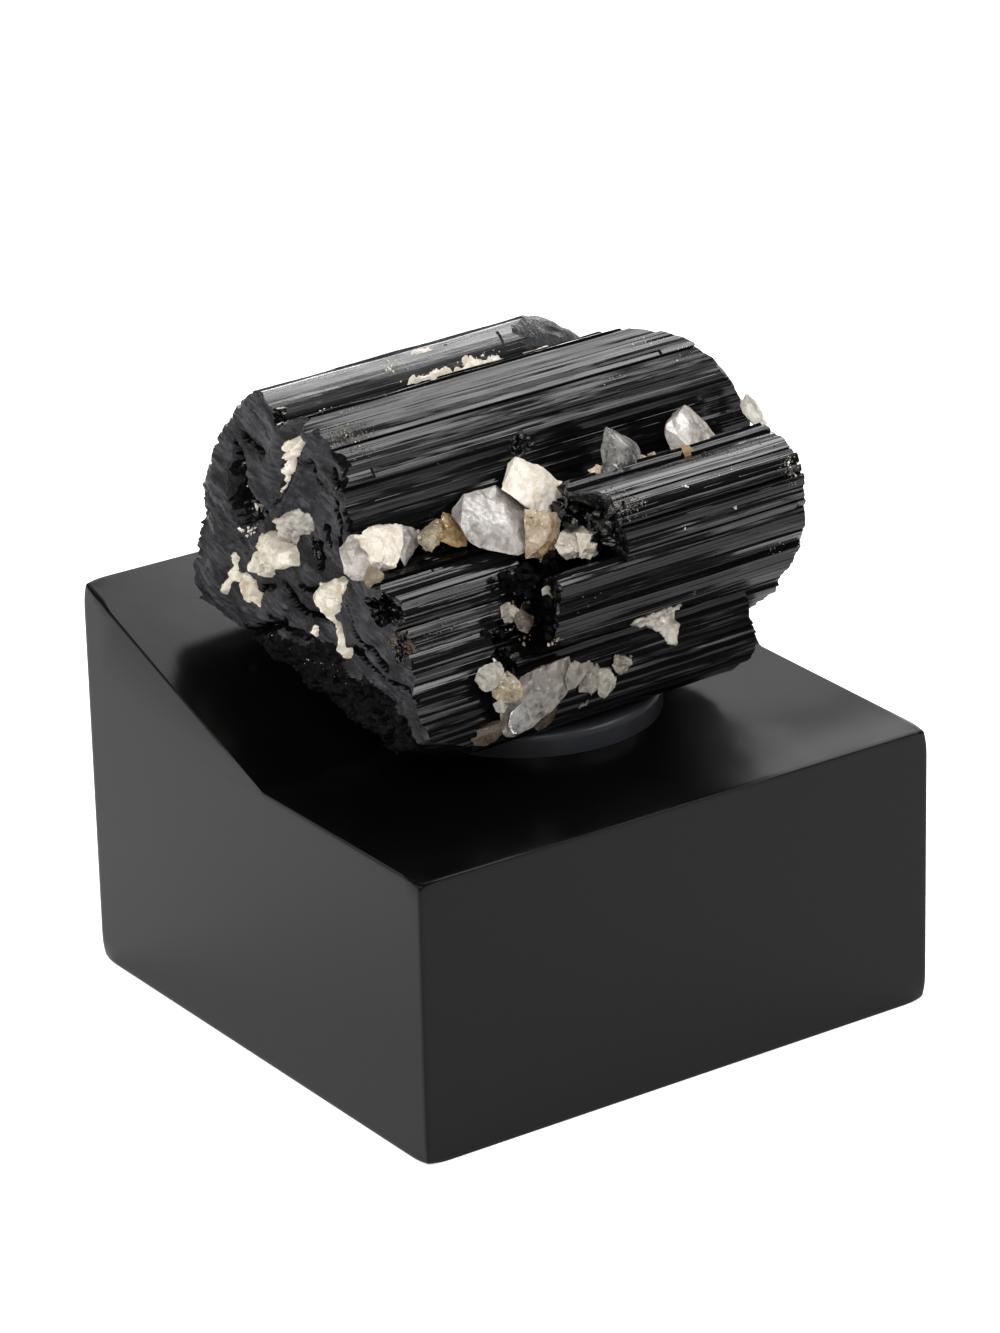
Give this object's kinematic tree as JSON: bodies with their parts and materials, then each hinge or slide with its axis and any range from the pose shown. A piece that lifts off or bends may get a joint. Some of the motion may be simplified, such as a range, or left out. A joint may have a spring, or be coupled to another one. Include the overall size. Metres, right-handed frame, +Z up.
{
  "type": "quartz with schorl",
  "caption": "Striated black schorl bundle with pale quartz and feldspar crystals in its clefts, on a rubber pad and a black block with a sloped rear.",
  "frame": {"origin": "centre of the stand's flat underside", "axes": "+Z up; X along the stand's front edge; +Y towards the stand's raised rear; the schorl prisms run close to X"},
  "size_m": [0.1, 0.098, 0.1094],
  "materials": {
    "stand": "satin",
    "pad": "satin",
    "schorl": "gloss",
    "quartz_clear": "gloss",
    "quartz_amber": "gloss",
    "feldspar": "satin"
  },
  "bodies": {
    "root": {"base": "stand", "pad": "pad", "schorl": "schorl", "quartz_large_cluster": "quartz_clear", "quartz_amber": "quartz_amber", "quartz_left_cluster": "feldspar", "quartz_point": "quartz_clear", "quartz_blocky": "quartz_clear", "quartz_notch": "feldspar", "quartz_front_cluster": "quartz_clear", "feldspar_beside_cluster": "feldspar", "feldspar_patch_right": "feldspar", "feldspar_in_pit": "feldspar", "feldspar_oval": "feldspar", "feldspar_strip": "feldspar", "feldspar_spot_back": "feldspar", "feldspar_spot_right": "feldspar", "feldspar_end_top": "feldspar", "feldspar_end_middle": "feldspar", "feldspar_end_large": "feldspar", "feldspar_end_left": "feldspar", "feldspar_end_front": "feldspar"}
  },
  "joints": []
}
